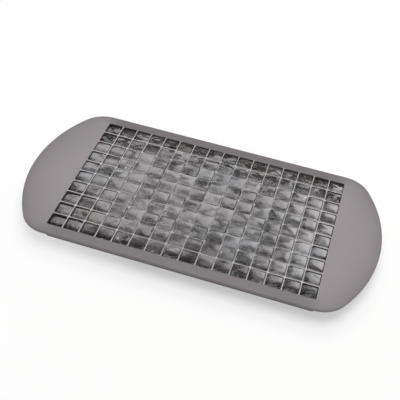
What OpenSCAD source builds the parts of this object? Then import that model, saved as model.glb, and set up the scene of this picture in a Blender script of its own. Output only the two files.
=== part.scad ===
// Silicone tray for small ice cubes, with the ice in it: a thin flat deck with a D-shaped
// handle at each end, and a block of square cells hanging under the deck.
// Frame: +X along the tray, +Y across it, +Z up. The origin is the middle of the underside,
// on the surface that the tray stands on. Sizes are in millimetres.

/* [Cells] */
// Cells along the tray
columns = 16; // [8:1:24]
// Cells across the tray
rows = 10; // [4:1:14]
// Clear width of a cell at its mouth
cell_w = 10; // [8:0.5:15]
// Depth of a cell below the deck's top face
cell_depth = 10; // [6:0.5:16]
// Thickness of the wall between two cells, at its top edge
wall_top = 0.8; // [0.6:0.1:2]
// How far each cell wall leans in by the floor, so that the cubes come out
draft = 0.2; // [0.05:0.05:0.4]
// Thickness of the floor under the cells
floor_t = 1.5; // [1:0.1:3]
// Thickness of the wall round the block of cells, at its top edge
outer_wall = 1.4; // [1:0.1:3]
// How far the outside of the block leans in by its underside
outer_draft = 0.3; // [0.1:0.1:0.6]

/* [Deck] */
// Thickness of the deck and of the handles
deck_t = 2; // [1.6:0.1:2.4]
// How far the deck's long sides stand out past the block of cells
rim_w = 6; // [3:0.5:12]
// Length of a handle, from the block of cells to its tip
handle_len = 30.6; // [27:0.2:45]
// Radius of the corner between a handle's end and the long side
corner_r = 20; // [8:1:24]
// How far before the block's end that corner starts
corner_start = 1.4; // [0:0.2:4]

/* [Bend at the handles] */
// Strip of deck between the block of cells and the line that a handle bends about
hinge_strip = 1.8; // [1.5:0.1:3]
// Gap between a handle's round root and the socket that it turns in
hinge_gap = 0.05; // [0.03:0.01:0.1]
// How far up a handle can fold, in degrees, before it meets the lips of its socket
fold_up = 60; // [30:5:75]

/* [Ice] */
// Gap between a cube and the walls of its cell
ice_gap = 0.1; // [0.05:0.05:0.3]
// Radius of the crown on top of a cube
crown_r = 13; // [10:0.5:20]
// Height of the fullest crown above the deck
crown_rise = 0.7; // [0:0.1:1.2]
// How much lower the water stood in the outermost cells
fill_drop = 1; // [0:0.1:1.5]
// How much higher the water stood at the right end than in the middle
fill_tilt = 0.2; // [0:0.05:0.4]
// Largest chance difference in height between two cubes
fill_scatter = 0.3; // [0:0.05:0.5]

/* [Hidden] */
pitch = cell_w + wall_top;
grid_l = columns * pitch - wall_top;
grid_w = rows * pitch - wall_top;
block_l = grid_l + 2 * outer_wall;
block_w = grid_w + 2 * outer_wall;
height = floor_t + cell_depth;
half_w = block_w / 2 + rim_w;
tip_x = block_l / 2 + handle_len;
hinge_x = block_l / 2 + hinge_strip;
hinge_z = height - deck_t / 2;
root_r = deck_t / 2;
socket_r = root_r + hinge_gap;
// The folded handle's top face leaves the round socket this far back from the bend line. The
// socket's lips end there, but for the gap.
lip_back = root_r * sin(fold_up) - sqrt(pow(socket_r, 2) - pow(root_r, 2)) * cos(fold_up) + hinge_gap;
cell_slope = draft / cell_depth;
block_slope = outer_draft / height;

// The corner arc starts at corner_x on the long side. The end arc runs on from it without a
// kink and through the tip, which gives its radius and its centre.
corner_x = block_l / 2 - corner_start;
corner_y = half_w - corner_r;
corner_reach = tip_x - corner_x;
end_r = (pow(corner_reach, 2) + pow(corner_y, 2) - pow(corner_r, 2)) / (2 * (corner_reach - corner_r));
end_x = tip_x - end_r;
end_angle = atan2(corner_y, corner_x - end_x);

corner_steps = 10;
end_steps = 24;
over = 1;  // how far a cutting shape runs past what it cuts

silicone = [0.57, 0.55, 0.56];
ice = [0.80, 0.86, 0.90, 0.5];

function two_digits(n) = str(n < 10 ? "0" : "", n);
function column_name(i) = str("ice_column_", two_digits(i + 1));

// Middle of a cell, counted from the left end and from the front
function cell_x(i) = (i + 0.5) * pitch - columns * pitch / 2;
function cell_y(j) = (j + 0.5) * pitch - rows * pitch / 2;

// The right end of the deck's outline, from the back corner round the tip to the front corner
function end_outline() = concat(
    [for (s = [0 : corner_steps - 1]) let (a = 90 - (90 - end_angle) * s / corner_steps)
        [corner_x + corner_r * cos(a), corner_y + corner_r * sin(a)]],
    [for (s = [0 : end_steps]) let (a = end_angle - 2 * end_angle * s / end_steps)
        [end_x + end_r * cos(a), end_r * sin(a)]],
    [for (s = [1 : corner_steps]) let (a = -end_angle - (90 - end_angle) * s / corner_steps)
        [corner_x + corner_r * cos(a), -corner_y + corner_r * sin(a)]]
);

// The deck as one plate, from end to end
module deck_plate() {
    right = end_outline();
    left = [for (p = right) [-p[0], -p[1]]];
    translate([0, 0, height - deck_t]) linear_extrude(deck_t) polygon(concat(right, left));
}

// A box in the deck's space, from x0 to x1 and from y0 to y1
module deck_region(x0, x1, y0, y1) {
    translate([x0, y0, height - deck_t - over]) cube([x1 - x0, y1 - y0, deck_t + 2 * over]);
}

// A section drawn in X and Z, run along Y
module along_y(length) {
    rotate([90, 0, 0]) linear_extrude(length, center = true) children();
}

// A section drawn in Y and Z, run along X
module along_x(length) {
    rotate([90, 0, 90]) linear_extrude(length, center = true) children();
}

// A section from z0 to z1 that is w wide at the deck's top and whose sides lean in downwards
module tapered(w, slope, z0, z1) {
    function half(z) = w / 2 - slope * (height - z);
    polygon([[-half(z0), z0], [half(z0), z0], [half(z1), z1], [-half(z1), z1]]);
}

// A block whose four sides lean in downwards
module tapered_block(l, w, slope, z0, z1) {
    intersection() {
        along_y(w + 2 * over) tapered(l, slope, z0, z1);
        along_x(l + 2 * over) tapered(w, slope, z0, z1);
    }
}

// The outside of the block of cells, between two heights
module block_body(z0, z1) {
    tapered_block(block_l, block_w, block_slope, z0, z1);
}

// The space inside the outer walls, which runs past the block to cut it cleanly
module well() {
    tapered_block(grid_l, grid_w, cell_slope, floor_t - over, height + over);
}

// Everything on the side of the block that faces +X (turns 0), +Y (1), -X (2) or -Y (3), out to
// the mitres at its corners
module side_of_block(turns) {
    half = (turns % 2 == 0 ? block_l : block_w) / 2 + over;
    across = (turns % 2 == 0 ? block_w : block_l) / 2 + over;
    depth = min(block_l, block_w) / 4;
    rotate(90 * turns) linear_extrude(height + over)
        polygon([[half, -across], [half, across], [half - depth, across - depth], [half - depth, depth - across]]);
}

// One of the four walls round the cells
module outer_wall_on(turns) {
    color(silicone) intersection() {
        difference() {
            block_body(floor_t, height);
            well();
        }
        side_of_block(turns);
    }
}

module cell_floor() {
    color(silicone) block_body(0, floor_t);
}

module front_wall() { outer_wall_on(3); }
module back_wall() { outer_wall_on(1); }
module left_wall() { outer_wall_on(2); }
module right_wall() { outer_wall_on(0); }

// Bars for the walls between the columns of cells, a little longer than the walls
module cross_wall_bars() {
    for (i = [1 : columns - 1])
        translate([i * pitch - columns * pitch / 2, 0, 0])
            along_y(grid_w + 2 * over) tapered(wall_top, -cell_slope, floor_t, height);
}

// Walls that run across the tray
module cross_walls() {
    color(silicone) intersection() {
        cross_wall_bars();
        well();
    }
}

// Walls that run along the tray, each in one short stretch per column of cells
module lengthwise_walls() {
    color(silicone) difference() {
        intersection() {
            for (j = [1 : rows - 1])
                translate([0, j * pitch - rows * pitch / 2, 0])
                    along_x(grid_l + 2 * over) tapered(wall_top, -cell_slope, floor_t, height);
            well();
        }
        cross_wall_bars();
    }
}

// The block's space, to cut out of the deck
module deck_cut() {
    block_body(height - deck_t - over, height + over);
}

// The deck's space past the block's right end, up to x1
module end_space(x1) {
    deck_region(block_l / 2 - outer_draft, block_l / 2, -block_w / 2, block_w / 2);
    deck_region(block_l / 2, x1, -half_w - over, half_w + over);
}

// The deck past the block's back side
module long_rim() {
    color(silicone) difference() {
        intersection() {
            deck_plate();
            deck_region(-hinge_x, hinge_x, block_w / 2 - outer_draft, half_w + over);
        }
        deck_cut();
        end_space(hinge_x + over);
        mirror([1, 0, 0]) end_space(hinge_x + over);
    }
}

module back_rim() { long_rim(); }
module front_rim() { mirror([0, 1, 0]) long_rim(); }

// The deck between the block's right end and the handle, with the socket that the handle's
// root turns in
module end_rim() {
    color(silicone) difference() {
        intersection() {
            deck_plate();
            end_space(hinge_x - lip_back);
        }
        deck_cut();
        bend_line(socket_r, 2 * (half_w + over));
    }
}

module right_rim() { end_rim(); }
module left_rim() { mirror([1, 0, 0]) end_rim(); }

// A round bar about the line that the right handle bends about
module bend_line(r, length) {
    translate([hinge_x, 0, hinge_z]) rotate([90, 0, 0]) cylinder(r = r, h = length, center = true, $fn = 64);
}

// The D-shaped right handle, whose root is rounded
module handle() {
    color(silicone) intersection() {
        deck_plate();
        union() {
            deck_region(hinge_x, tip_x + over, -half_w - over, half_w + over);
            bend_line(root_r, 2 * (half_w + over));
        }
    }
}

module right_handle() { handle(); }
module left_handle() { mirror([1, 0, 0]) handle(); }

// A number from 0 to 1 that differs from cell to cell
function chance(i, j) = ((7 * i + 11 * j + 3 * i * j) % 13) / 12;

// Height of the top of the crown in a cell. The tray was filled from the middle, so the outermost
// cells hold less.
function crown_top(i, j) =
    let (u = 2 * cell_x(i) / grid_l, v = 2 * cell_y(j) / grid_w)
    height + crown_rise - fill_drop * (pow(u, 4) + pow(v, 4)) + fill_tilt * u + fill_scatter * (chance(i, j) - 0.5);

// A cube that fills its cell but for the gap at the walls, with a round crown
module ice_cube(i, j) {
    mouth = cell_w - 2 * ice_gap;
    top = crown_top(i, j);
    translate([cell_x(i), cell_y(j), 0]) intersection() {
        tapered_block(mouth, mouth, cell_slope, floor_t, top + over);
        translate([0, 0, top - crown_r]) sphere(r = crown_r, $fn = 96);
    }
}

module ice_column(i) {
    color(ice) for (j = [0 : rows - 1]) ice_cube(i, j);
}

cell_floor();
front_wall();
back_wall();
left_wall();
right_wall();
cross_walls();
lengthwise_walls();
front_rim();
back_rim();
left_rim();
right_rim();
left_handle();
right_handle();
for (i = [0 : columns - 1])
    ice_column(i);
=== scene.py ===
# %% [markdown]
# # A filled silicone ice cube tray
# The real thing is a single soft moulding: a flat deck with a rounded handle at each end, and a block of 16
# by 10 square cells that hangs under the deck. Each cell holds a small cube of ice with a swollen top. The
# CAD frame gives every size and every moving body. This file gives the looks: one smooth grey skin for the
# moulding, 160 clear cubes, a pale floor and soft light from above and behind.

# %% Load the frame
import math

import bmesh
import bpy
import numpy as np
from mathutils import Matrix, Vector
from mathutils.geometry import delaunay_2d_cdt


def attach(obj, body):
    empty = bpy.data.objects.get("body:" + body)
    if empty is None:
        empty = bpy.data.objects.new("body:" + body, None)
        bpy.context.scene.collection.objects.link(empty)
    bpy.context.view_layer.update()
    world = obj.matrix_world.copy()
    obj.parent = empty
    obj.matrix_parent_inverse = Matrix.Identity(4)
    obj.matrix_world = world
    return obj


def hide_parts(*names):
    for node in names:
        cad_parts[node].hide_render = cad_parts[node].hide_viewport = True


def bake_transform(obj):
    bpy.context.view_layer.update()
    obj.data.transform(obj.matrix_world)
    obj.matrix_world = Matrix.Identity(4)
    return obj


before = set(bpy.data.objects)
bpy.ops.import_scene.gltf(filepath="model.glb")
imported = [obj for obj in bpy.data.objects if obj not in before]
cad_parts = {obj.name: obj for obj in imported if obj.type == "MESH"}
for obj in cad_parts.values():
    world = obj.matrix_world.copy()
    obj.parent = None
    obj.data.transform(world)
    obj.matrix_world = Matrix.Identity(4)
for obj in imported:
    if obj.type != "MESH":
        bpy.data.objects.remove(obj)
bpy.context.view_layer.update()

# %% [markdown]
# ## Sizes
# Blender works in metres and a tray maker in millimetres, so all sizes are written in millimetres and
# turned into metres only where a mesh is built. They repeat the sizes of the CAD part, because the skin has
# to sit exactly where the CAD solids are.

# %% Sizes of the moulding, in millimetres
COLUMNS = 16
ROWS = 10
CELL = 10.0
WALL = 0.8
PITCH = CELL + WALL
DEPTH = 10.0
DRAFT = 0.2
FLOOR = 1.5
TOP = DEPTH + FLOOR
OUTER_WALL = 1.4
OUTER_DRAFT = 0.3
DECK = 2.0
RIM = 6.0
GRID_L = COLUMNS * PITCH - WALL
GRID_W = ROWS * PITCH - WALL
BLOCK_L = GRID_L + 2 * OUTER_WALL
BLOCK_W = GRID_W + 2 * OUTER_WALL
GRID_X = COLUMNS * PITCH / 2
GRID_Y = ROWS * PITCH / 2
HALF_W = BLOCK_W / 2 + RIM
TIP = BLOCK_L / 2 + 30.6
CORNER_R = 20.0
CORNER_X = BLOCK_L / 2 - 1.4
CORNER_Y = HALF_W - CORNER_R
print("deck", 2 * TIP, "by", 2 * HALF_W, "mm, top at", TOP)

# %% [markdown]
# ## Camera
# The photograph was taken from in front, a little to the right, at about 44 degrees above the table, and
# the camera was tilted by 6 degrees. These numbers come from fitting a camera to the crossings of the cell
# walls, whose spacing is even. The aim is the middle of the cells, moved by a hair.

# %% Camera
AZIMUTH = math.radians(12.34)
ELEVATION = math.radians(43.95)
ROLL = math.radians(6.48)
DISTANCE = 505.8
AIM_RIGHT = -1.78
AIM_UP = 1.67
LENS = 69.48
SENSOR = 36
back = Vector((
    math.sin(AZIMUTH) * math.cos(ELEVATION),
    -math.cos(AZIMUTH) * math.cos(ELEVATION),
    math.sin(ELEVATION),
))
level_right = Vector((math.cos(AZIMUTH), math.sin(AZIMUTH), 0))
level_up = back.cross(level_right)
right = math.cos(ROLL) * level_right + math.sin(ROLL) * level_up
up = math.cos(ROLL) * level_up - math.sin(ROLL) * level_right
aim = Vector((0, 0, TOP)) + AIM_RIGHT * right + AIM_UP * up
eye = aim + DISTANCE * back
lens_data = bpy.data.cameras.new("photo_camera")
lens_data.sensor_width = SENSOR
lens_data.lens = LENS
lens_data.clip_start = 0.01
camera = bpy.data.objects.new("photo_camera", lens_data)
camera.matrix_world = Matrix((
    (right.x, up.x, back.x, eye.x / 1000),
    (right.y, up.y, back.y, eye.y / 1000),
    (right.z, up.z, back.z, eye.z / 1000),
    (0, 0, 0, 1),
))
bpy.context.collection.objects.link(camera)
bpy.context.scene.camera = camera
print("camera stands at", [round(v, 1) for v in eye], "mm")

# %% [markdown]
# ## A small language for finishes
# A finish in Blender is a graph of nodes. Wiring it by hand takes many lines, so one small class wraps an
# output socket and gives it plus, minus and times: `1 - mask` then adds a Math node by itself. A second
# class makes every other node from its type, its settings and its socket values.

# %% Wire: one socket with arithmetic
class Wire:
    """An output socket of a node. Arithmetic on it adds Math nodes to the same graph."""

    def __init__(self, graph, socket):
        self.graph = graph
        self.socket = socket

    def math(self, operation, *values):
        inputs = dict(enumerate(values))
        return self.graph.node("ShaderNodeMath", {"operation": operation}, inputs)

    def __add__(self, other):
        return self.math("ADD", self, other)

    def __radd__(self, other):
        return self.math("ADD", other, self)

    def __sub__(self, other):
        return self.math("SUBTRACT", self, other)

    def __rsub__(self, other):
        return self.math("SUBTRACT", other, self)

    def __mul__(self, other):
        return self.math("MULTIPLY", self, other)

    def __rmul__(self, other):
        return self.math("MULTIPLY", other, self)


# %% Graph: makes nodes
class Graph:
    """The node graph of a material or a world."""

    def __init__(self, owner):
        owner.use_nodes = True
        self.tree = owner.node_tree
        self.tree.nodes.clear()

    def node(self, kind, settings=(), inputs=(), output=0):
        made = self.tree.nodes.new(kind)
        for name, value in dict(settings).items():
            if name == "stops":
                self.stops(made.color_ramp, value)
            else:
                setattr(made, name, value)
        for name, value in dict(inputs).items():
            if isinstance(value, Wire):
                self.tree.links.new(value.socket, made.inputs[name])
            else:
                made.inputs[name].default_value = value
        if not made.outputs:
            return made
        return Wire(self, made.outputs[output])

    def stops(self, ramp, values):
        while len(ramp.elements) < len(values):
            ramp.elements.new(1.0)
        for element, (place, level) in zip(ramp.elements, values):
            element.position = place
            element.color = (level, level, level, 1)

    def noise(self, place, scale, detail=2.0, distortion=0.0):
        inputs = {"Vector": place, "Scale": scale, "Detail": detail, "Distortion": distortion}
        return self.node("ShaderNodeTexNoise", (), inputs, "Fac")

    def ramp(self, value, *stops):
        return self.node("ShaderNodeValToRGB", {"stops": stops}, {"Fac": value}, "Color")

    def blend(self, factor, first, second):
        settings = {"data_type": "RGBA"}
        inputs = {0: factor, 6: first, 7: second}
        return self.node("ShaderNodeMix", settings, inputs, 2)

    def bump(self, height, distance, strength=1.0):
        inputs = {"Height": height, "Distance": distance, "Strength": strength}
        return self.node("ShaderNodeBump", (), inputs, "Normal")

    def place(self):
        return self.node("ShaderNodeTexCoord", (), (), "Object")

    def stored(self, name):
        return self.node("ShaderNodeAttribute", {"attribute_name": name}, (), "Fac")

    def vector(self, operation, *values, output=0):
        inputs = dict(enumerate(values))
        return self.node("ShaderNodeVectorMath", {"operation": operation}, inputs, output)


print("node helpers ready")

# %% [markdown]
# ## Floor
# The tray lies on a plain white sheet. A real sheet photographed this way is pure white, because it is a
# little overexposed, but the soft shadow under the front edge still shows. Here the lamps stay at a plain
# level, and the floor adds a glow of its own for the rays that look at it. The glow is weakest beside the
# tray, where the pale sheet has to carry the shadow. It grows with the distance, until the far floor is as
# white as the background.

# %% Floor
FLOOR_HALF = 6.0
GLOW_CENTRE = (0.05, -0.05, 0.0)
GLOW_BESIDE_TRAY = (0.07, 0.46)
GLOW_NEAR = (0.21, 0.86)
GLOW_FAR = (0.7, 1.0)


def seen_directly(graph):
    """1 for rays from the camera, and for what gloss and glass show; 0 for the rays that carry light."""
    camera_ray, gloss_ray, glass_ray = [
        graph.node("ShaderNodeLightPath", (), (), name)
        for name in ("Is Camera Ray", "Is Glossy Ray", "Is Transmission Ray")
    ]
    either = gloss_ray.math("MAXIMUM", gloss_ray, glass_ray)
    return camera_ray.math("MAXIMUM", camera_ray, either)


def floor_finish():
    material = bpy.data.materials.new("white_sheet")
    graph = Graph(material)
    speck = graph.noise(graph.place(), 900, 3.0)
    tone = graph.blend(speck, (0.955, 0.955, 0.96, 1), (0.98, 0.98, 0.98, 1))
    sheet = graph.node("ShaderNodeBsdfPrincipled", (), {
        "Base Color": tone,
        "Roughness": 0.8 + 0.1 * speck,
        "Normal": graph.bump(speck, 0.00005),
    })
    glow = graph.node("ShaderNodeEmission", (), {"Color": (1, 1, 1, 1), "Strength": 1.0})
    away = graph.vector("DISTANCE", graph.place(), GLOW_CENTRE, output="Value")
    share = seen_directly(graph) * graph.ramp(away, GLOW_BESIDE_TRAY, GLOW_NEAR, GLOW_FAR)
    both = graph.node("ShaderNodeMixShader", (), {0: share, 1: sheet, 2: glow})
    graph.node("ShaderNodeOutputMaterial", (), {"Surface": both})
    return material


def make_floor():
    mesh = bpy.data.meshes.new("floor")
    side = FLOOR_HALF
    corners = [(-side, -side, 0), (side, -side, 0), (side, side, 0), (-side, side, 0)]
    mesh.from_pydata(corners, [], [(0, 1, 2, 3)])
    mesh.materials.append(floor_finish())
    floor = bpy.data.objects.new("floor", mesh)
    bpy.context.collection.objects.link(floor)
    return floor


floor = make_floor()
print("floor", floor.name)

# %% [markdown]
# ## Light
# In the photograph the tops are light, the front edge is dark and the shadow falls to the front. So a wide
# box hangs above the tray and lights the deck evenly, and two low strips stand behind it, one over the
# other. The flat tops of the ice in the middle rows mirror the strips, while the front rows and the back
# rows look past them. The lamps don't show through the ice, where they would make hard spots. The world is
# a pale wall along the horizon, an olive one above it at the back, which tints the last rows of ice, and a
# dim ceiling.

# %% Soft boxes and world
STRIP_SIZE = (0.90, 0.16)
TOP_BOX_SIZE = (1.2, 1.0)
WALL_WHITE = (1.0, 1.0, 1.0, 1)
WALL_DIM = (0.12, 0.12, 0.12, 1)
WALL_OLIVE = (0.36, 0.41, 0.20, 1)
CEILING = (0.10, 0.10, 0.10, 1)


def soft_box(name, centre, size, level):
    """A rectangular lamp that points at the tray. level is its brightness, where 1 is white."""
    width, height = size
    data = bpy.data.lights.new(name, "AREA")
    data.shape = "RECTANGLE"
    data.size = width
    data.size_y = height
    data.energy = level * math.pi * width * height
    lamp = bpy.data.objects.new(name, data)
    lamp.location = centre
    towards_tray = Vector((0, 0, 0)) - Vector(centre)
    lamp.rotation_euler = towards_tray.to_track_quat("-Z", "Y").to_euler()
    lamp.visible_transmission = False
    bpy.context.collection.objects.link(lamp)


soft_box("back_box", (-0.10, 0.749, 0.736), STRIP_SIZE, 3.0)
soft_box("haze_box", (-0.10, 0.642, 0.831), STRIP_SIZE, 2.0)
soft_box("top_box", (0.10, 0.0, 1.25), TOP_BOX_SIZE, 3.5)


def make_world():
    """A pale wall along the horizon, an olive one above it at the back, and a dim ceiling."""
    world = bpy.data.worlds.new("studio")
    graph = Graph(world)
    direction = graph.node("ShaderNodeTexCoord", (), (), "Generated")
    backward = graph.node("ShaderNodeSeparateXYZ", (), {0: direction}, 1)
    height = graph.node("ShaderNodeSeparateXYZ", (), {0: direction}, 2)
    at_back = graph.ramp(backward, (0.3, 0.0), (0.7, 1.0))
    upper_wall = graph.blend(at_back, WALL_DIM, WALL_OLIVE)
    above = graph.blend(graph.ramp(height, (0.60, 0.0), (0.68, 1.0)), upper_wall, CEILING)
    room = graph.blend(graph.ramp(height, (0.24, 0.0), (0.40, 1.0)), WALL_WHITE, above)
    sky = graph.node("ShaderNodeBackground", (), {"Color": room, "Strength": 1.0})
    graph.node("ShaderNodeOutputWorld", (), {"Surface": sky})
    bpy.context.scene.world = world


make_world()
bpy.context.scene.view_settings.view_transform = "Standard"

# %% [markdown]
# ## Finish: grey silicone
# Cured silicone is matt and slightly warm grey. Its surface copies the fine grain of the mould, and dust
# and skin oil leave faint lighter and darker patches. So the colour moves a little over centimetres, and
# the roughness and a very fine bump move over fractions of a millimetre. A stored attribute, worked out
# further down, paints light and shade into the colour. At 0 it is painted shade, the dark inside of a cell,
# where the reflection is turned down as well, and at 0.2 to 0.6 the deck. At 1 it is a painted highlight on
# the top of a wall. In the middle of the tray, patches break that painted light line up.

# %% Silicone
# Painted tones: painted shade, the painted lit end of the deck, a painted highlight on the wall tops, and the
# tone where that highlight is left out.
PAINTED_SHADE_TONE = (0.070, 0.057, 0.065, 1)
PAINTED_LIT_TONE = (0.430, 0.391, 0.414, 1)
PAINTED_HIGHLIGHT_TONE = (0.47, 0.45, 0.465, 1)
HIGHLIGHT_GAP_TONE = (0.37, 0.354, 0.366, 1)


def silicone_finish():
    material = bpy.data.materials.new("grey_silicone")
    graph = Graph(material)
    place = graph.place()
    patches = graph.noise(place, 28, 4.0, 0.4)
    grain = graph.noise(place, 3200, 2.0)
    bloom = graph.stored("bloom")
    # painted shade and light: dark in the cells, pale on the open deck, with random patches on top
    skin_tone = graph.blend(bloom + 0.12 * (patches - 0.5), PAINTED_SHADE_TONE, PAINTED_LIT_TONE)
    from_middle = graph.vector("LENGTH", place, output="Value")
    # patches in the middle of the tray where the painted highlight on the wall tops is left out
    highlight_gaps = graph.ramp(graph.noise(place, 240, 1.0, 0.5), (0.46, 1.0), (0.56, 0.0))
    highlight_gaps = highlight_gaps * graph.ramp(from_middle, (0.05, 1.0), (0.08, 0.0))
    crest_tone = graph.blend(highlight_gaps, PAINTED_HIGHLIGHT_TONE, HIGHLIGHT_GAP_TONE)
    on_crest = graph.ramp(bloom, (0.7, 0.0), (1.0, 1.0))
    tone = graph.blend(on_crest, skin_tone, crest_tone)
    plain_skin = graph.node("ShaderNodeBsdfPrincipled", (), {
        "Base Color": tone,
        "Roughness": 0.46 + 0.10 * grain + 0.06 * patches,
        "Normal": graph.bump(grain, 0.00003, 0.6),
        "IOR": 1.41,
        "Sheen Weight": 0.05,
    })
    # where the shade is painted, the reflection is turned down too, so that the painted shade stays dark
    dull_in_shade = graph.node("ShaderNodeBsdfPrincipled", (), {
        "Base Color": tone,
        "Roughness": 0.7 + 0.1 * grain,
        "IOR": 1.08,
    })
    out_of_shade = graph.ramp(bloom, (0.0, 0.0), (0.2, 1.0))
    both = graph.node("ShaderNodeMixShader", (), {0: out_of_shade, 1: dull_in_shade, 2: plain_skin})
    graph.node("ShaderNodeOutputMaterial", (), {"Surface": both})
    return material


silicone = silicone_finish()
print("finish", silicone.name)

# %% [markdown]
# ## Finish: clear ice
# The cubes are clear with a haze. Ice bends light less than glass, with an index of 1.31, and its surface
# freezes with shallow waves a few millimetres wide, so a slow noise drives the bump. Ice from tap water is
# cloudy in streaks, with a few fine veins, and a pale body is mixed in where those lie; light specks on it
# are painted glints. A stored amount, partly cloudiness and partly painted shade, highlight and reflection,
# says how much, and the attribute cube shifts the pattern, so that no cube continues its neighbour's.
# Towards the back rows the streaks have crisp edges. Lamps can't find their way through bent surfaces in
# few samples, so for shadow rays the ice is simply half transparent.

# %% Ice
ICE_INDEX = 1.31
STREAKS = (0.85, 1.5, 1.0)
CRISP_FROM = 0.029
CRISP_FULL = 0.036
ICE_WARM = (0.43, 0.42, 0.37, 1)
ICE_NEUTRAL = (0.458, 0.428, 0.458, 1)
ICE_COOL = (0.43, 0.43, 0.455, 1)
# painted glint
GLINT_TONE = (0.7, 0.7, 0.7, 1)


def cloud_in(graph, place, streaks, frost):
    """Where the ice is cloudy: in soft streaks, which turn crisp towards the back rows."""
    soft = graph.noise(streaks, 120, 0.3, 0.5) + 0.25 * frost
    soft = graph.ramp(soft, (0.55, 0.05), (0.79, 1.0))
    crisp = graph.ramp(graph.noise(streaks, 120, 0.5, 1.5), (0.465, 0.0), (0.54, 1.0))
    backward = graph.node("ShaderNodeSeparateXYZ", (), {0: place}, 1)
    return graph.blend(graph.ramp(backward, (CRISP_FROM, 0.0), (CRISP_FULL, 1.0)), soft, crisp)


def pale_body(graph, place, painted_glints):
    """Cloudy ice: a neutral grey with faint warm and cool areas, and light specks that are painted glints."""
    tint = graph.ramp(graph.noise(place, 45, 1.0), (0.22, 0.0), (0.36, 1.0))
    cool = graph.ramp(graph.noise(place, 36, 1.0), (0.58, 0.0), (0.68, 1.0))
    tone = graph.blend(cool, graph.blend(tint, ICE_WARM, ICE_NEUTRAL), ICE_COOL)
    return graph.node("ShaderNodeBsdfPrincipled", (), {
        "Base Color": graph.blend(painted_glints, tone, GLINT_TONE),
        "Roughness": 0.5,
        "IOR": ICE_INDEX,
    })


def ice_finish():
    material = bpy.data.materials.new("clear_ice")
    graph = Graph(material)
    place = graph.place()
    # the stored amount of pale body: partly cloudiness, partly painted shade, highlight and reflection
    frost = graph.stored("frost")
    haze = graph.noise(place, 90, 3.0)
    waves = graph.noise(place, 75, 0.0, 0.3)
    clear = graph.node("ShaderNodeBsdfPrincipled", (), {
        "Base Color": graph.blend(haze, (0.91, 0.92, 0.92, 1), (0.98, 0.98, 0.98, 1)),
        "Roughness": 0.05 + 0.04 * haze + 0.2 * frost,
        "Normal": graph.bump(waves, 0.0004, 0.5),
        "IOR": ICE_INDEX,
        "Transmission Weight": 1.0,
    })
    apart = graph.vector("ADD", place, graph.stored("cube"))
    streaks = graph.vector("MULTIPLY", apart, STREAKS)
    # painted glints: small bright spots in the pale body
    painted_glints = graph.ramp(graph.noise(apart, 380, 0.0), (0.80, 0.0), (0.86, 1.0))
    veins = graph.noise(streaks, 110, 0.0, 0.6)
    veins = graph.ramp(veins, (0.475, 0.0), (0.50, 1.0), (0.525, 0.0))
    cloud = cloud_in(graph, place, streaks, frost)
    share = 0.56 * (frost * cloud) + veins * (0.38 - 0.2 * frost) + 0.4 * painted_glints
    pale = pale_body(graph, place, painted_glints)
    body = graph.node("ShaderNodeMixShader", (), {0: share, 1: clear, 2: pale})
    shadow_ray = graph.node("ShaderNodeLightPath", (), (), "Is Shadow Ray")
    half_clear = graph.node("ShaderNodeBsdfTransparent", (), {"Color": (0.5, 0.5, 0.5, 1)})
    both = graph.node("ShaderNodeMixShader", (), {0: shadow_ray, 1: body, 2: half_clear})
    graph.node("ShaderNodeOutputMaterial", (), {"Surface": both})
    return material


clear_ice = ice_finish()
print("finish", clear_ice.name)

# %% [markdown]
# ## Building meshes
# Every surface here is a stack of loops with the same number of points, joined by quads. A short class
# keeps points and faces in millimetres, and turns them into a closed mesh at the end: points that coincide
# are welded, and all faces are turned outwards.

# %% Skin: points and faces
class Skin:
    """Points in millimetres and the faces between them."""

    def __init__(self):
        self.points = []
        self.faces = []

    def loop(self, points):
        first = len(self.points)
        self.points.extend(points)
        return list(range(first, first + len(points)))

    def strip(self, one, two, closed=False):
        last = len(one) if closed else len(one) - 1
        for k in range(last):
            n = (k + 1) % len(one)
            self.faces.append((one[k], one[n], two[n], two[k]))

    def stack(self, loops, closed=False):
        rows = [self.loop(points) for points in loops]
        for one, two in zip(rows, rows[1:]):
            self.strip(one, two, closed)
        return rows

    def fill(self, loop):
        self.faces.append(tuple(loop))

    def build(self, name, material, **layers):
        mesh = bpy.data.meshes.new(name)
        mesh.from_pydata([(x / 1000, y / 1000, z / 1000) for x, y, z in self.points], [], self.faces)
        work = bmesh.new()
        work.from_mesh(mesh)
        bmesh.ops.remove_doubles(work, verts=work.verts, dist=2e-6)
        bmesh.ops.recalc_face_normals(work, faces=work.faces)
        open_edges = sum(1 for edge in work.edges if len(edge.link_faces) != 2)
        work.to_mesh(mesh)
        work.free()
        mesh.materials.append(material)
        mesh.shade_smooth()
        mesh.set_sharp_from_angle(angle=math.radians(50))
        for layer, amount in layers.items():
            values = mesh.attributes.new(layer, "FLOAT", "POINT").data
            for vertex, value in zip(mesh.vertices, values):
                x, y, z = vertex.co * 1000
                value.value = amount(x, y, z)
        made = bpy.data.objects.new(name, mesh)
        bpy.context.collection.objects.link(made)
        print(name, len(mesh.polygons), "faces, open edges", open_edges)
        return made


# %% Rounded shapes
def rounded_square(cx, cy, half_x, half_y, radius, z, arc=4, between=0):
    """A loop of points round a rectangle with round corners, counter-clockwise from the right side."""
    points = []
    for turn in range(4):
        sign_x = (1, -1, -1, 1)[turn]
        sign_y = (1, 1, -1, -1)[turn]
        mid_x = cx + sign_x * (half_x - radius)
        mid_y = cy + sign_y * (half_y - radius)
        for step in range(arc + 1):
            angle = math.radians(90 * (turn + step / arc))
            points.append((mid_x + radius * math.cos(angle), mid_y + radius * math.sin(angle), z))
        x, y, _ = points[-1]
        run_x = (-1, 0, 1, 0)[turn] * 2 * (half_x - radius)
        run_y = (0, -1, 0, 1)[turn] * 2 * (half_y - radius)
        for step in range(between):
            part = (step + 1) / (between + 1)
            points.append((x + run_x * part, y + run_y * part, z))
    return points


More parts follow.
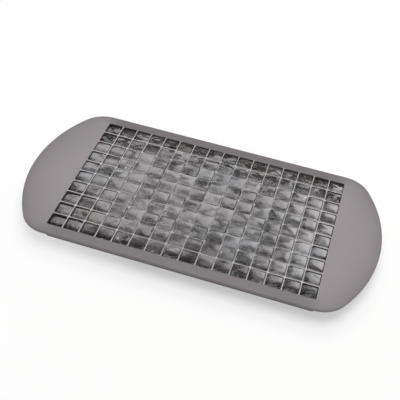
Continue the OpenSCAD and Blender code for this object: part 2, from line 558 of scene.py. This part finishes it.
def quarter(steps):
    """(sine, cosine) at even steps over a quarter turn, both ends included."""
    angles = [math.pi / 2 * k / steps for k in range(steps + 1)]
    return [(math.sin(a), math.cos(a)) for a in angles]


print("a rounded square has", len(rounded_square(0, 0, 5, 5, 1, 0)), "points")

# %% [markdown]
# ## Where light and shade are painted on the silicone
# The colour of the silicone carries painted light and shade. It is palest in the middle of the handles and
# gets darker towards the outline and along the two long rims, the back rim more than the front. The foot of
# the block is painted darker as its shade, the insides of the cells are painted dark as their shade, and the
# tops of the thin walls carry a painted highlight, a little weaker in the last row. The amount is worked out
# for each point of the mesh and stored there, where the finish reads it.

# %% Painted light and shade on the silicone
def end_arc():
    """(centre x, radius, half angle) of the end arc, which touches both corner arcs and the tip."""
    run = TIP - CORNER_X
    radius = (run ** 2 + CORNER_Y ** 2 - CORNER_R ** 2) / (2 * (run - CORNER_R))
    centre = TIP - radius
    return centre, radius, math.atan2(CORNER_Y, CORNER_X - centre)


END_X, END_R, END_ANGLE = end_arc()


def inset_at(x, y):
    """Distance in millimetres from the deck's outline."""
    x, y = abs(x), abs(y)
    inset = min(HALF_W - y, END_R - math.hypot(x - END_X, y))
    if x > CORNER_X and y > CORNER_Y:
        inset = min(inset, CORNER_R - math.hypot(x - CORNER_X, y - CORNER_Y))
    return max(inset, 0.0)


def fade(value, places, levels):
    """The level at a value: straight lines between the given places, and level beyond them."""
    return float(np.interp(value, places, levels))


def painted_light_at(x, y, z):
    """Painted light and shade on the silicone: 0 is painted shade in a cell, 1 a painted highlight on a wall
    top.
    """
    # painted shade: darker towards the deck's outline
    edge = fade(inset_at(x, y), [0, 3, 8, 15, 25], [0.34, 0.43, 0.51, 0.55, 0.58])
    # painted shade: the long rims darker than the handles, the back rim more than the front
    rim = 0.32 if y < 0 else 0.23
    at_end = fade(abs(x), [GRID_L / 2 - 6, GRID_L / 2 + 4], [0, 1])
    along = min(rim, edge) * (1 - at_end) + edge * at_end
    # painted shade at the foot of the block
    foot_shade = fade(z, [0.0, 1.2, 5.0], [0.0, 0.35, 1.0])
    pale = foot_shade * (along if abs(y) > GRID_W / 2 - 0.2 else edge)
    if abs(x) > GRID_L / 2 + 0.6 or abs(y) > GRID_W / 2 + 0.6:
        return pale
    border = abs(x) > GRID_L / 2 - 0.15 or abs(y) > GRID_W / 2 - 0.15
    # painted highlight on the wall tops, a little weaker in the last row
    crest = pale if border else fade(y, [GRID_Y - 11, GRID_Y - 9], [1.0, 0.8])
    # below the mouth the inside of a cell is painted shade
    return fade(z, [TOP - 0.8, TOP - 0.25, TOP], [0.0, 0.1, crest])


print("end arc: centre", round(END_X, 2), "radius", round(END_R, 2))

# %% [markdown]
# ## The cells
# A cell is a square well. Moulded silicone has no sharp edges, so the mouth is rounded, the corners are
# rounded and the floor meets the walls in a fillet. Each cell is built as a tile one pitch wide, whose
# border runs along the middle of the walls. Neighbouring tiles have the same points on their border, so
# they weld into one sheet.

# %% Cell tiles
MOUTH_ROUND = 0.3
CELL_CORNER = 0.9
CELL_FILLET = 1.0
SLOPE = DRAFT / DEPTH


def column_x(i):
    return (i + 0.5) * PITCH - COLUMNS * PITCH / 2


def row_y(j):
    return (j + 0.5) * PITCH - ROWS * PITCH / 2


def tile_border(cx, cy):
    """The tile's square edge, with one point for each point of the rounded square inside it."""
    half = PITCH / 2
    flat = CELL / 2 + MOUTH_ROUND - (CELL_CORNER + MOUTH_ROUND)
    near = (flat + half) / 2
    quarter_turn = [(half, flat), (half, near), (half, half), (near, half), (flat, half)]
    points = []
    for turn in range(4):
        for x, y in quarter_turn:
            for _ in range(turn):
                x, y = -y, x
            points.append((cx + x, cy + y, TOP))
    return points


def add_cell(skin, cx, cy):
    loops = [tile_border(cx, cy)]
    for sine, cosine in quarter(4):
        grow = MOUTH_ROUND * (1 - sine)
        z = TOP - MOUTH_ROUND * (1 - cosine)
        half = CELL / 2 + grow
        loops.append(rounded_square(cx, cy, half, half, CELL_CORNER + grow, z))
    for down in (0.8, 2.5):
        half = CELL / 2 - SLOPE * down
        loops.append(rounded_square(cx, cy, half, half, CELL_CORNER, TOP - down))
    low = FLOOR + CELL_FILLET
    half = CELL / 2 - SLOPE * (TOP - low)
    for sine, cosine in quarter(4):
        shrink = CELL_FILLET * (1 - cosine)
        radius = max(CELL_CORNER - shrink, 0.12)
        z = low - CELL_FILLET * sine
        loops.append(rounded_square(cx, cy, half - shrink, half - shrink, radius, z))
    rows = skin.stack(loops, closed=True)
    skin.fill(rows[-1])


tray_skin = Skin()
for i in range(COLUMNS):
    for j in range(ROWS):
        add_cell(tray_skin, column_x(i), row_y(j))
print("cells", COLUMNS * ROWS, "points", len(tray_skin.points))

# %% [markdown]
# ## The deck round the cells
# The deck is a 2 mm plate with softly rounded edges. Its outline is straight along the block and turns into
# the handles by arcs of 20 mm. The skin is cut at two planes just outside the block: the middle is the
# tray, and each end is a handle. Both sides of a cut have the same points, so no seam shows.

# %% Deck outline and edge
CUT = BLOCK_L / 2 + 0.6
EDGE_ROUND = 0.45
EDGE_FLAT = 0.9


def edge_y(x, inset):
    """The deck's half width at x, for a line that runs inset millimetres inside the outline."""
    past = abs(x) - CORNER_X
    if past <= 0:
        return HALF_W - inset
    return CORNER_Y + math.sqrt((CORNER_R - inset) ** 2 - past ** 2)


def edge_profile():
    """(inset, height) from the top face round the edge to the underside."""
    points = [(EDGE_FLAT, TOP)]
    for sine, cosine in quarter(4):
        points.append((EDGE_ROUND * (1 - sine), TOP - EDGE_ROUND * (1 - cosine)))
    for sine, cosine in quarter(4):
        points.append((EDGE_ROUND * (1 - cosine), TOP - DECK + EDGE_ROUND * (1 - sine)))
    points.append((EDGE_FLAT, TOP - DECK))
    return points


EDGE = edge_profile()


def border_steps(count):
    """Places along one side of the grid where the tiles have points."""
    half = PITCH / 2
    flat = CELL / 2 - CELL_CORNER
    near = (flat + half) / 2
    steps = []
    for k in range(count):
        middle = (k + 0.5) * PITCH - count * PITCH / 2
        steps.extend(middle + step for step in (-half, -near, -flat, flat, near))
    steps.append(count * PITCH / 2)
    return steps


LONG_STEPS = border_steps(COLUMNS)
SHORT_STEPS = border_steps(ROWS)
print("edge points", len(EDGE), "steps", len(LONG_STEPS), len(SHORT_STEPS))

# %% Deck of the middle part
BESIDE = [0.4, 0.8]
ACROSS = [-GRID_Y - step for step in BESIDE[::-1]] + SHORT_STEPS + [GRID_Y + step for step in BESIDE]
SEAM_STEPS = [-edge_y(CUT, EDGE_FLAT)] + ACROSS + [edge_y(CUT, EDGE_FLAT)]


def add_deck(skin):
    """Both long rims, the strips beside the grid's ends and the caps at the cuts."""
    beside = [GRID_X + step for step in BESIDE]
    along = [-CUT] + [-x for x in beside[::-1]] + LONG_STEPS + beside + [CUT]
    undersides = []
    for side in (-1, 1):
        loops = [[(x, side * (GRID_Y + step), TOP) for x in along] for step in [0] + BESIDE]
        loops += [[(x, side * edge_y(x, inset), z) for x in along] for inset, z in EDGE]
        skin.stack(loops)
        undersides.append(loops[-1])
    for side in (-1, 1):
        skin.stack([[(side * x, y, TOP) for y in SHORT_STEPS] for x in [GRID_X] + beside + [CUT]])
        cap = [[(side * CUT, y, z) for y in SEAM_STEPS] for z in (TOP, TOP - DECK)]
        skin.stack(cap)
        for end in (-1, 1):
            skin.fill(skin.loop([(side * CUT, end * edge_y(CUT, inset), z) for inset, z in EDGE]))
    return undersides


front_underside, back_underside = add_deck(tray_skin)
print("deck points", len(tray_skin.points))

# %% [markdown]
# ## The block and the underside
# Under the deck the block is a slab with rounded upright corners and a rounded bottom edge, and it meets
# the deck in a small fillet. The flat ring between the deck's edge and the block has unlike loops inside
# and outside, so it is filled with triangles by a constrained Delaunay triangulation, which keeps both
# loops as they are.

# %% Block
BLOCK_CORNER = 2.0
BLOCK_FILLET = 0.5
BOTTOM_ROUND = 2.0
BLOCK_SLOPE = OUTER_DRAFT / TOP


def block_loop(grow, z):
    inward = BLOCK_SLOPE * (TOP - z) - grow
    return rounded_square(
        0, 0, BLOCK_L / 2 - inward, BLOCK_W / 2 - inward, BLOCK_CORNER - inward, z, 8
    )


def add_block(skin):
    """The slab under the deck, from its fillet down. Returns its top loop, which the underside joins."""
    under = TOP - DECK
    loops = []
    for sine, cosine in quarter(4):
        loops.append(block_loop(BLOCK_FILLET * (1 - sine), under - BLOCK_FILLET * (1 - cosine)))
    for sine, cosine in quarter(5):
        loops.append(block_loop(-BOTTOM_ROUND * (1 - cosine), BOTTOM_ROUND * (1 - sine)))
    rows = skin.stack(loops, closed=True)
    skin.fill(rows[-1])
    return loops[0]


def lies_inside(x, y, loop):
    """True inside a convex loop that runs counter-clockwise."""
    for one, two in zip(loop, loop[1:] + loop[:1]):
        if (two[0] - one[0]) * (y - one[1]) < (two[1] - one[1]) * (x - one[0]):
            return False
    return True


def fill_flat(skin, loops, z, extra=()):
    """Fills the flat area inside the first loop and outside the others."""
    flat = []
    edges = []
    for points in loops:
        first = len(flat)
        flat.extend(Vector(point[:2]) for point in points)
        edges.extend((first + k, first + (k + 1) % len(points)) for k in range(len(points)))
    flat.extend(Vector(point) for point in extra)
    points, _, faces, *_ = delaunay_2d_cdt(flat, edges, [], 1, 1e-5)
    rows = skin.loop([(p.x, p.y, z) for p in points])
    for face in faces:
        x = sum(points[k].x for k in face) / len(face)
        y = sum(points[k].y for k in face) / len(face)
        if not any(lies_inside(x, y, hole) for hole in loops[1:]):
            skin.fill([rows[k] for k in face])


block_top = add_block(tray_skin)
outer = front_underside + [(CUT, y, 0) for y in ACROSS]
outer = outer + back_underside[::-1] + [(-CUT, y, 0) for y in ACROSS[::-1]]
fill_flat(tray_skin, [outer, block_top], TOP - DECK)
tray = tray_skin.build("tray_skin", silicone, bloom=painted_light_at)
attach(tray, "tray")
TRAY_NODES = [
    "cell_floor", "front_wall", "back_wall", "left_wall", "right_wall", "cross_walls",
    "lengthwise_walls", "front_rim", "back_rim", "left_rim", "right_rim",
]
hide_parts(*TRAY_NODES)

# %% [markdown]
# ## The handles
# Each handle is the end of the same plate: corner arcs of 20 mm and one wide arc over the end. It bends
# where it leaves the block, so it needs many cross rows there. The edge is a strip of loops along the
# outline, and the flat faces are triangulated over a grid of extra points whose rows run across the bend.

# %% Handle outline
def outline(inset, corner_steps=14, end_steps=40):
    """The right handle's outline, inset inside its edge, from the front cut round to the back cut."""
    radius = CORNER_R - inset
    first = math.acos((CUT - CORNER_X) / radius)
    corner = [first + (END_ANGLE - first) * k / corner_steps for k in range(corner_steps + 1)]
    back_side = [(CORNER_X + radius * math.cos(a), CORNER_Y + radius * math.sin(a)) for a in corner]
    end = [END_ANGLE * (1 - k / (end_steps / 2)) for k in range(1, end_steps // 2 + 1)]
    back_side += [(END_X + (END_R - inset) * math.cos(a), (END_R - inset) * math.sin(a)) for a in end]
    front_side = [(x, -y) for x, y in back_side[:-1]]
    return front_side + back_side[::-1]


# %% Handle mesh
FINE_STEP = 1.0
FINE_ROWS = 13
COARSE_STEP = 4.0
COARSE_ROWS = 4
SIDE_REACH = 56
KEEP_OFF = 1.2


def bend_points(limit):
    """Points for the flat faces, in rows that run across the handle, closest together where it bends."""
    rows = [CUT + FINE_STEP * k for k in range(1, FINE_ROWS + 1)]
    rows += [rows[-1] + COARSE_STEP * k for k in range(1, COARSE_ROWS + 1)]
    points = []
    for x in rows:
        for y in np.arange(-SIDE_REACH, SIDE_REACH + 1, COARSE_STEP):
            inside = all(math.hypot(x - point[0], y - point[1]) > KEEP_OFF for point in limit)
            corner = math.hypot(max(x - CORNER_X, 0), max(abs(y) - CORNER_Y, 0)) < CORNER_R - EDGE_FLAT
            end = math.hypot(x - END_X, y) < END_R - EDGE_FLAT
            if inside and end and (corner or abs(y) < CORNER_Y):
                points.append((x, float(y)))
    return points


def make_handle(side, name):
    skin = Skin()
    loops = [[(x, y, z) for x, y in outline(inset)] for inset, z in EDGE]
    skin.stack(loops)
    inner = loops[0] + [(CUT, y, 0) for y in ACROSS[::-1]]
    extra = bend_points(loops[0])
    for z in (TOP, TOP - DECK):
        fill_flat(skin, [inner], z, extra)
    cap = [[(CUT, y, z) for y in SEAM_STEPS] for z in (TOP, TOP - DECK)]
    skin.stack(cap)
    for end in (-1, 1):
        skin.fill(skin.loop([(CUT, end * edge_y(CUT, inset), z) for inset, z in EDGE]))
    skin.points = [(side * x, y, z) for x, y, z in skin.points]
    handle = skin.build(f"{name}_skin", silicone, bloom=painted_light_at)
    bend = CUT / 1000
    side * bend
    side * (bend + 0.011)
    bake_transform(handle)
    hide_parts(name)


make_handle(-1, "left_handle")
make_handle(1, "right_handle")

# %% [markdown]
# ## The ice
# Water in a small well swells when it freezes and pushes up a crown. Each cube is a stack of rounded
# squares: a rounded bottom edge, nearly upright sides and a crown that is flat in the middle and rolls over
# at the rim. The fill is uneven, as in the real tray: the end cells are lower, and each cube leans a little
# its own way.

# %% Crown shape
ICE_GAP = 0.1
CROWN_RISE = 0.65
FILL_DROP = 1.0
FILL_TILT = 0.2
FILL_SCATTER = 0.3
LOW_CORNER = 1.0
LOW_BACK = 0.4
SWELL = 0.8
LOW_ROUND = 1.1
UNDER_GAP = 0.06


def chance(i, j):
    """An even spread of numbers from 0 to 1, always the same for the same cell."""
    return ((7 * i + 11 * j + 3 * i * j) % 13) / 12


def crown_top(i, j):
    """How high a crown stands: the filling sinks towards all sides, most at the left front corner."""
    u = 2 * column_x(i) / GRID_L
    v = 2 * row_y(j) / GRID_W
    uneven = FILL_TILT * u + FILL_SCATTER * (chance(i, j) - 0.5)
    corner = fade(u, [-0.9, -0.6], [1, 0]) * fade(v, [-0.5, -0.3], [1, 0])
    last_row = fade(v, [0.75, 0.9], [0, 1])
    uneven -= LOW_CORNER * corner + LOW_BACK * last_row
    return TOP + CROWN_RISE - FILL_DROP * (u ** 4 + v ** 4) + uneven


def crown_lean(i, j):
    """The slope of a crown along X and Y: that of the whole filling at this cell, and a little of its own."""
    u = 2 * column_x(i) / GRID_L
    v = 2 * row_y(j) / GRID_W
    along = -4 * FILL_DROP * u ** 3 * 2 / GRID_L
    across = -4 * FILL_DROP * v ** 3 * 2 / GRID_W
    own_x = 0.05 * (chance(j + 3, i) - 0.5)
    own_y = 0.03 * (chance(i + 5, j + 2) - 0.5)
    return along + own_x, across + own_y


tops = [crown_top(i, j) for i in range(COLUMNS) for j in range(ROWS)]
print("crowns from", round(min(tops), 2), "to", round(max(tops), 2), "mm")

# %% Cubes
CROWN_LIMIT = 0.87
LEAN_REACH = 4.5
CUBE_CORNER = 0.9
CROWN_CORNER = 2.6
RINGS = [1.0, 0.997, 0.992, 0.984, 0.972, 0.955, 0.93, 0.88, 0.80, 0.68, 0.52, 0.36, 0.20]


def crown_height(s, pillow, power):
    """How high the crown stands over its rim, from 0 at the rim (s = 1) to 1 in the middle (s = 0)."""
    plateau = math.sqrt(1 - s ** power)
    return (1 - pillow) * plateau + pillow * (1 - s * s)


def add_cube(skin, i, j):
    """One cube: a rounded bottom edge, upright sides and a crown, most domed at the tray's ends."""
    cx, cy = column_x(i), row_y(j)
    lean_x, lean_y = crown_lean(i, j)
    top = min(crown_top(i, j), TOP + CROWN_LIMIT - LEAN_REACH * (abs(lean_x) + abs(lean_y)))
    rim = top - SWELL
    full = min(max((top - TOP - 0.2) / 0.4, 0), 1)
    bulge = full * (0.15 + 0.35 * chance(i + 1, j + 6))
    shift_x = 0.25 * full * (chance(j + 9, i + 3) - 0.5)
    shift_y = 0.25 * full * (chance(i + 8, j + 7) - 0.5)
    from_middle = abs(cx) / GRID_L
    dome = 1.2 if cx > 0 else 0.6
    pillow = 0.05 + dome * max(from_middle - 0.1, 0) + 0.1 * chance(j, i + 4)
    power = fade(from_middle, [0.3, 0.45], [50, 12])
    loops = []
    for sine, cosine in quarter(4)[::-1]:
        z = FLOOR + UNDER_GAP + LOW_ROUND * (1 - sine)
        shrink = LOW_ROUND * (1 - cosine)
        half = CELL / 2 - ICE_GAP - SLOPE * (TOP - z) - shrink
        loops.append(rounded_square(cx, cy, half, half, max(CUBE_CORNER - shrink, 0.1), z, between=3))
    loops = loops[::-1]
    half = CELL / 2 - ICE_GAP - SLOPE * (TOP - rim)
    for s in RINGS:
        height = crown_height(s, pillow, power)
        z = rim + SWELL * height
        spread = min(height / 0.35, 1)
        wide = (half + bulge * spread) * s
        bend = min(CUBE_CORNER + 9 * (1 - s), CROWN_CORNER, 0.9 * wide)
        ring = rounded_square(cx + spread * shift_x, cy + spread * shift_y, wide, wide, bend, z, between=3)
        loops.append([(x, y, z + lean_x * (x - cx) + lean_y * (y - cy)) for x, y, z in ring])
    rows = skin.stack(loops, closed=True)
    skin.fill(rows[0])
    skin.fill(rows[-1])


trial = Skin()
add_cube(trial, 0, 0)
print("a cube has", len(trial.points), "points")

# %% [markdown]
# ## Where the ice is cloudy, and where light and shade are painted on it
# Ice is clear where it freezes first and cloudy where air is caught. In the photograph the middle rows are
# the palest, while the front row and the last rows show the dark cells through clear ice. Here the pale body
# in the middle rows is partly cloudiness and partly a painted reflection of the strips behind. On each cube
# a painted shade leaves a dark crescent at the front left, most of all on the domed cubes at the right end,
# and a painted highlight a pale lip along the wall in front of it. Thin painted lines of shade and highlight
# run along the edges of the cubes, and in the last row a painted shade lies along the back wall. The amount
# is worked out for each point, in u and v, the place on the tray, and in along and across, the place on the
# cube. All four run from -1 to 1.

# %% Cloudiness and painted light on the ice
def cell_of(x, y):
    i = min(max(int((x + GRID_X) / PITCH), 0), COLUMNS - 1)
    j = min(max(int((y + GRID_Y) / PITCH), 0), ROWS - 1)
    return i, j


def cloud_and_reflection_level(u, v):
    """Palest in the middle rows, as cloud and painted reflection; clearer in front and in the middle of the
    back.
    """
    rows = fade(v, [-0.95, -0.7, -0.45, -0.2, 0.5, 0.7, 0.9], [0.66, 0.77, 0.9, 0.96, 1.0, 0.80, 0.72])
    ends = fade(abs(u - 0.1), [0.55, 0.95], [0.0, 0.8]) if v > 0 else 0.0
    return max(rows, ends)


def crescent(u, v, along, across, outer, low):
    """Painted shade: a clear, dark crescent at the front left of each cube. Painted highlight: a pale lip
    along the walls beside it, and paler towards the back right and at the right end.
    """
    second_last = fade(v, [0.6, 0.7, 0.8], [0.0, 1.0, 0.0]) if u > -0.3 else 0.0
    leftward = max(0.1 - along * fade(u, [-1.0, 0.0, 0.75], [0.5, 0.35, 0.85]), 0)
    forward = max(0.1 + 0.38 * low + 0.25 * second_last - across * (0.7 + 0.3 * outer), 0)
    shade = fade(math.hypot(leftward, forward), [0.15, 0.45, 0.8, 1.05], [1.15, 0.95, 0.4, 0.05])
    # painted highlight: the pale lip along the walls
    lip = max(fade(across, [-0.97, -0.6], [1.35, 0.0]), fade(along, [-0.97, -0.65], [0.9, 0.0]))
    shade = max(shade, lip * fade(v, [-0.9, -0.7], [0.4, 1.0]))
    # painted highlight towards the back right of each cube and on the right columns
    shade *= fade(across + u * along, [0.0, 1.8], [1.0, 1.5])
    return shade * fade(u, [0.6, 0.85], [1.0, 1.3])


def painted_edge_lines(i, j, u, along, across, outer):
    """Painted lines along a cube's edges: paler sides as painted highlight, thin clear lines as painted
    shade.
    """
    front = fade(across, [-0.99, -0.95], [0.6, 1.0])
    light_side = fade(along, [-0.9, -0.4, 0.3, 0.9], [0.3 * (1 - outer), 0.0, 0.0, 0.3])
    dark_side = 0.5 * outer * fade(along, [-0.99, -0.94], [1.0, 0.0])
    line = max(fade(across, [0.85, 0.92], [0.0, 1.0]), fade(along, [0.87, 0.94], [0.0, 1.0]))
    right_end = fade(u, [0.5, 0.8], [0.55, 1.0])
    depth = 0.85 if chance(i + 6, j + 3) > 0.45 else 0.6 * right_end * outer
    side = -1 if chance(i + 7, j + 2) > 0.4 else 1
    seam = 0.5 * fade(along * side, [0.90, 0.97], [0.0, 1.0])
    return (front + light_side) * (1 - dark_side) * (1 - depth * line) * (1 - seam)


def own_cloud_and_painted_shade(i, j, v, along, across, outer, low):
    """What sets one cube apart from the next; in the last row a painted shade along the back wall, as a clear
    part.
    """
    spread = fade(v, [0.5, 0.8], [0.2, 0.9])
    own = max(0.83 - 0.14 * low + 0.07 * outer + spread * (chance(i + 2, j + 5) - 0.5), 0.1)
    # painted shade: a clear part along the back wall of the last row
    last_row = fade(v, [0.8, 0.9], [0.0, 0.85])
    edge = 0.45 + 0.4 * (chance(i + 5, j) - 0.5) + 0.3 * along * (chance(i + 1, j + 4) - 0.5)
    return own * (1 - last_row * fade(across, [edge - 0.2, edge], [0.0, 1.0]))


def cloud_and_painted_light_at(x, y, z):
    """How much pale body shows at a point: cloudiness, and painted shade, highlight and reflection."""
    u = 2 * x / GRID_L
    v = 2 * y / GRID_W
    i, j = cell_of(x, y)
    along = (x - column_x(i)) / (CELL / 2)
    across = (y - row_y(j)) / (CELL / 2)
    outer = fade(abs(u), [0.3, 0.6], [0.0, 1.0])
    low = fade(v, [-0.95, -0.75], [1.0, 0.0])
    edges = painted_edge_lines(i, j, u, along, across, outer)
    body = crescent(u, v, along, across, outer, low)
    own = own_cloud_and_painted_shade(i, j, v, along, across, outer, low)
    return cloud_and_reflection_level(u, v) * edges * body * own


def cube_at(x, y, z):
    """A number of its own for each cube, which shifts the haze so that no cube continues its neighbour's."""
    i, j = cell_of(x, y)
    return chance(i + 4, j + 1) + 0.4 * chance(j + 2, i + 6)


print("frost in the middle", round(cloud_and_painted_light_at(0, 0, TOP), 2), "and in front", round(cloud_and_painted_light_at(0, -50, TOP), 2))

# %% [markdown]
# ## The columns
# The frame has one body for each column of ten cubes, because flexing the tray over an edge frees one
# column after another. So each column is one mesh that rides on its own body.

# %% Columns
def make_column(i):
    skin = Skin()
    for j in range(ROWS):
        add_cube(skin, i, j)
    name = f"ice_column_{i + 1:02d}"
    column = skin.build(f"{name}_clear", clear_ice, frost=cloud_and_painted_light_at, cube=cube_at)
    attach(column, name)
    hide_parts(name)


for i in range(COLUMNS):
    make_column(i)
